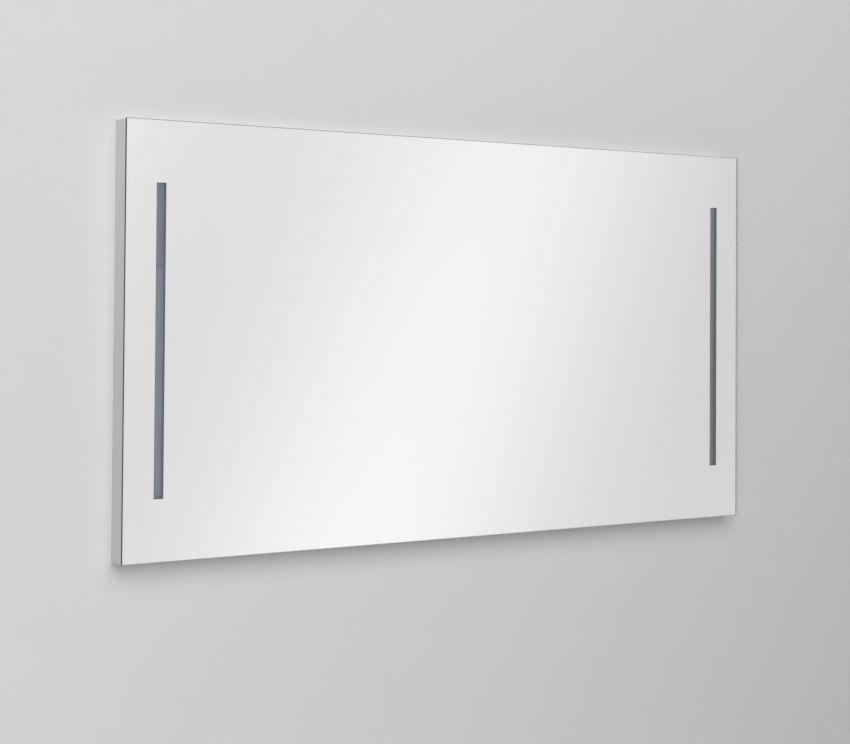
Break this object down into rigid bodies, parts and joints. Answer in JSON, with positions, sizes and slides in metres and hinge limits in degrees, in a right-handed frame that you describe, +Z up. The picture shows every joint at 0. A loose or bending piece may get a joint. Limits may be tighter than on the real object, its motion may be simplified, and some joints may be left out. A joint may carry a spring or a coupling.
{
  "type": "illuminated bathroom wall mirror",
  "caption": "Wide bathroom wall mirror with vertical light windows behind one sheet of glass, on a shallow aluminium casing that hooks over wall brackets.",
  "frame": {"origin": "on the wall plane, at the centre of the four wall screw holes", "axes": "+X to the right along the mirror as seen from the room, +Y into the wall, +Z up"},
  "size_m": [1.4, 0.047, 0.7523],
  "materials": {
    "clear_glass": "polished float glass with a ground arris",
    "silvering": "silvered, with grey backing paint",
    "foam_tape": "closed-cell foam",
    "casing_aluminium": "fine matt anodised",
    "key_metal": "raw cast",
    "back_sheet": "mill-finished sheet",
    "zinc_steel": "bright zinc plated",
    "zinc_fastener": "bright zinc plated",
    "rivet_aluminium": "plain",
    "black_rubber": "moulded, matt",
    "channel_aluminium": "satin extruded",
    "white_plastic": "fine moulded texture",
    "white_board": "white solder mask",
    "emitter_yellow": "silicone over phosphor",
    "opal_diffuser": "opal, cool tint",
    "green_board": "green solder mask",
    "component_dark": "dark sleeves and winding tape",
    "grey_plastic": "fine moulded texture",
    "cream_plastic": "satin",
    "brass": "turned",
    "grey_lead": "smooth sheath",
    "white_lead": "smooth sheath",
    "black_plastic": "fine moulded texture",
    "black_gloss": "smooth"
  },
  "bodies": {
    "wall_brackets": {"wall_bracket_left": "zinc_steel", "wall_bracket_right": "zinc_steel"},
    "mirror_panel": {"mirror_glass": "clear_glass", "silver_coating": "silvering", "mounting_tape": "foam_tape", "channel_tape": "foam_tape", "frame_top": "casing_aluminium", "frame_bottom": "casing_aluminium", "frame_left": "casing_aluminium", "frame_right": "casing_aluminium", "corner_keys": "key_metal", "back_panel": "back_sheet", "panel_screws": "zinc_fastener", "wall_buffers": "black_rubber", "cable_grommet": "black_rubber", "light_channel_left": "channel_aluminium", "light_channel_right": "channel_aluminium", "end_caps_left": "white_plastic", "end_caps_right": "white_plastic", "light_board_left": "white_board", "light_board_right": "white_board", "emitters_left": "emitter_yellow", "emitters_right": "emitter_yellow", "diffuser_left_upper": "opal_diffuser", "diffuser_left_lower": "opal_diffuser", "diffuser_right": "opal_diffuser", "hanger_left": "zinc_steel", "hanger_right": "zinc_steel", "hanger_rivets": "rivet_aluminium", "driver_case": "white_plastic", "driver_cover": "white_plastic", "driver_board": "green_board", "driver_components": "component_dark", "driver_screws": "zinc_fastener", "terminal_box": "grey_plastic", "terminal_cover": "grey_plastic", "terminal_cover_screw": "zinc_fastener", "terminal_block": "cream_plastic", "terminal_clamps": "brass", "lead_light_left": "grey_lead", "lead_light_right": "grey_lead", "lead_driver": "white_lead", "lead_switch": "white_lead", "lead_clips": "white_plastic", "switch_housing": "black_plastic", "switch_contacts": "brass"},
    "rocker": {"switch_rocker": "black_gloss"}
  },
  "joints": [
    {"name": "lift_off", "type": "slide", "parent": "wall_brackets", "child": "mirror_panel", "axis": [0, 0, 1], "range_m": [0, 0.014]},
    {"name": "rocker_tilt", "type": "hinge", "parent": "mirror_panel", "child": "rocker", "pos_m": [0.56, -0.0297, -0.6368], "axis": [0, 1, 0], "range_deg": [-12, 0]}
  ]
}
